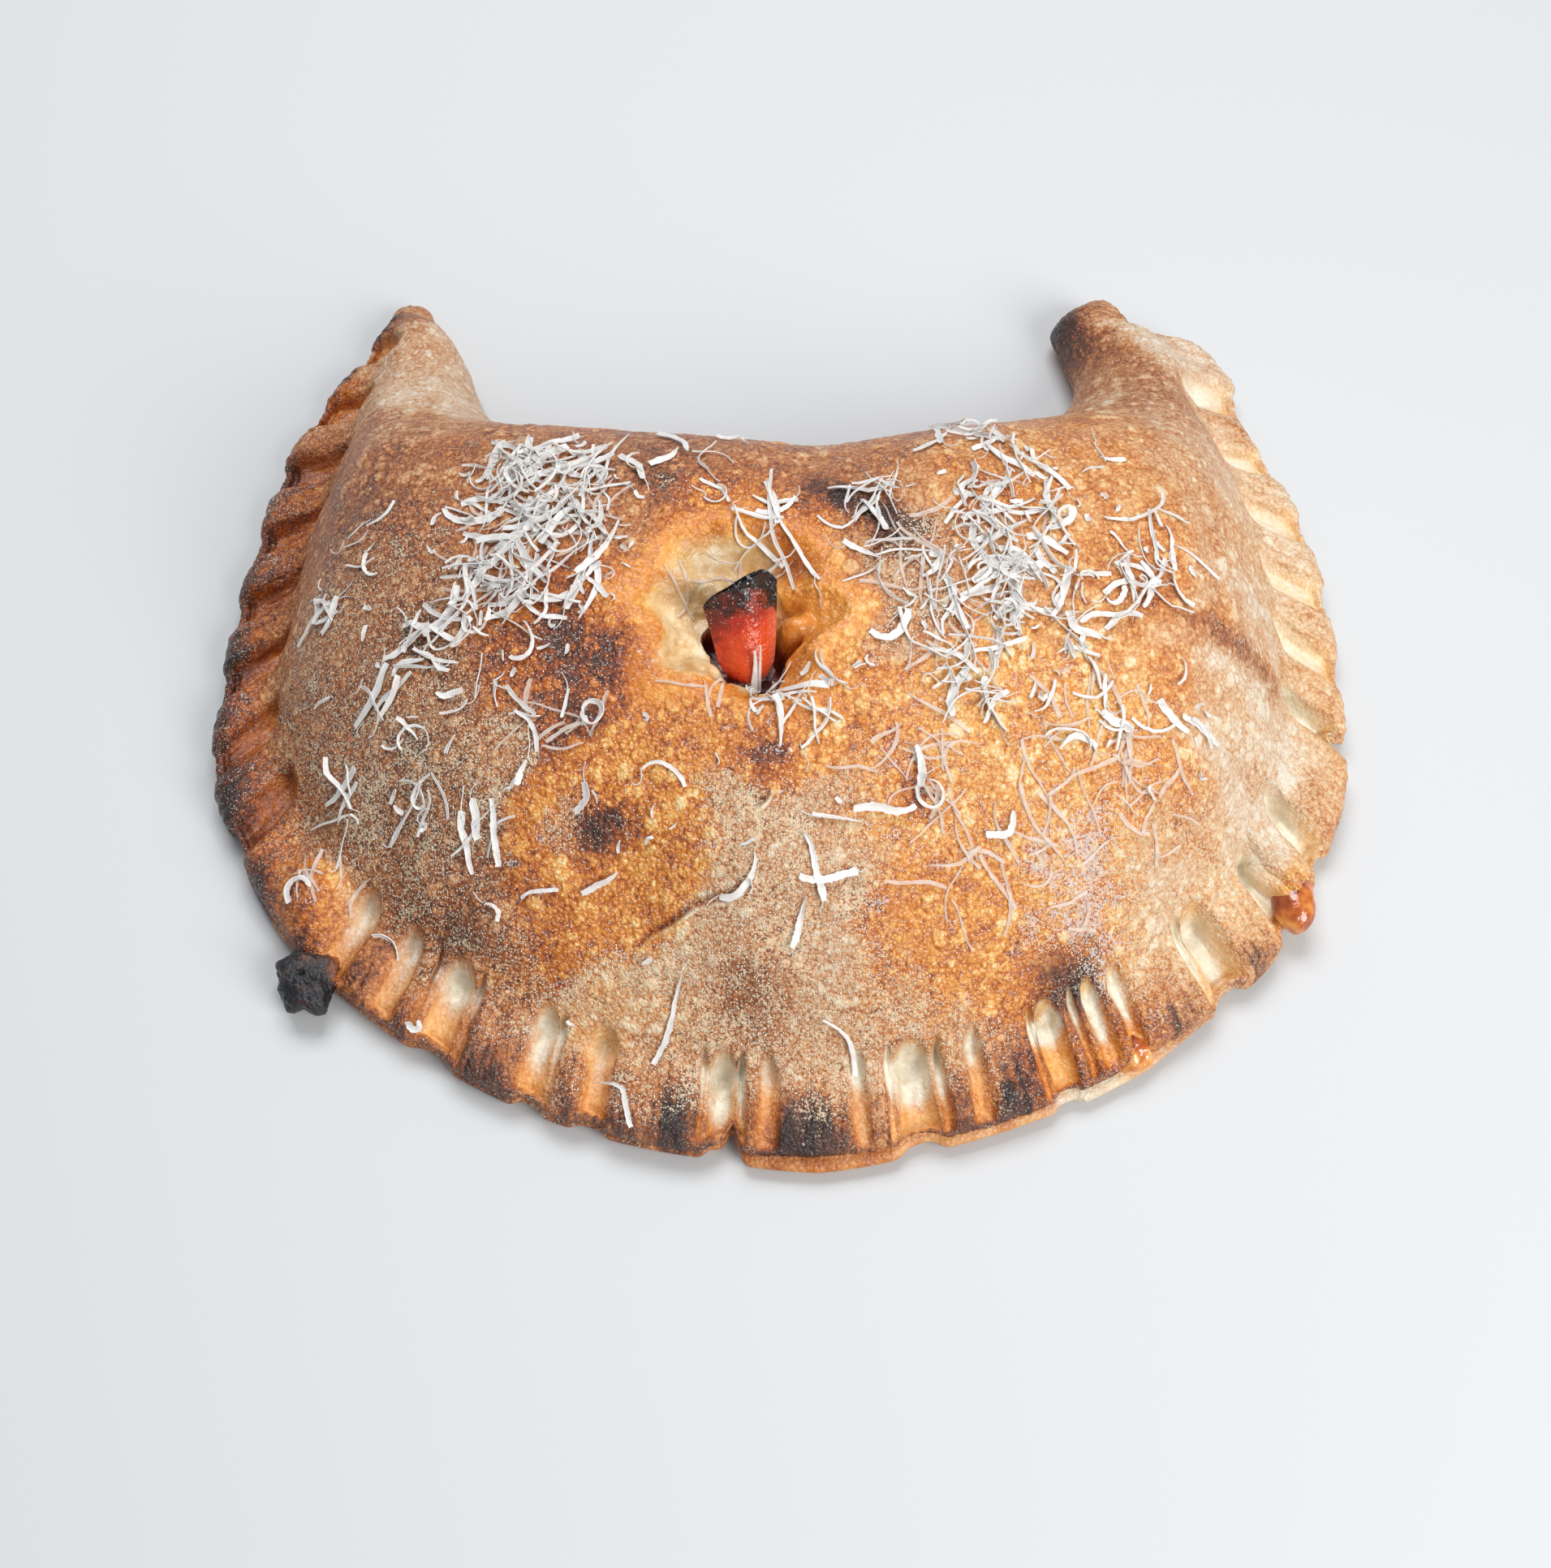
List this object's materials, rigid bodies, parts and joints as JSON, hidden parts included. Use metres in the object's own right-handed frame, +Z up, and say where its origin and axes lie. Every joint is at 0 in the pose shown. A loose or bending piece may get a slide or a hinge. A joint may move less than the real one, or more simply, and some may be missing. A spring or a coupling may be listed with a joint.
{
  "type": "calzone",
  "caption": "Baked half-moon of folded pizza dough with a crimped edge, two horned ends, a torn steam vent holding a curled sausage slice, and cheese shreds on top.",
  "frame": {"origin": "middle of the footprint on the plate, at the underside", "axes": "+X along the width to the right end, -Y towards the crimped front edge, +Z up"},
  "size_m": [0.2534, 0.2238, 0.0618],
  "materials": {
    "baked_crust": "baked dough, fine blisters, matte with oily patches",
    "cured_sausage": "glossy, charred along the top",
    "tomato_sauce": "wet, dark"
  },
  "bodies": {
    "root": {"crust": "baked_crust", "sauce": "tomato_sauce", "sausage_slice": "cured_sausage"}
  },
  "joints": []
}
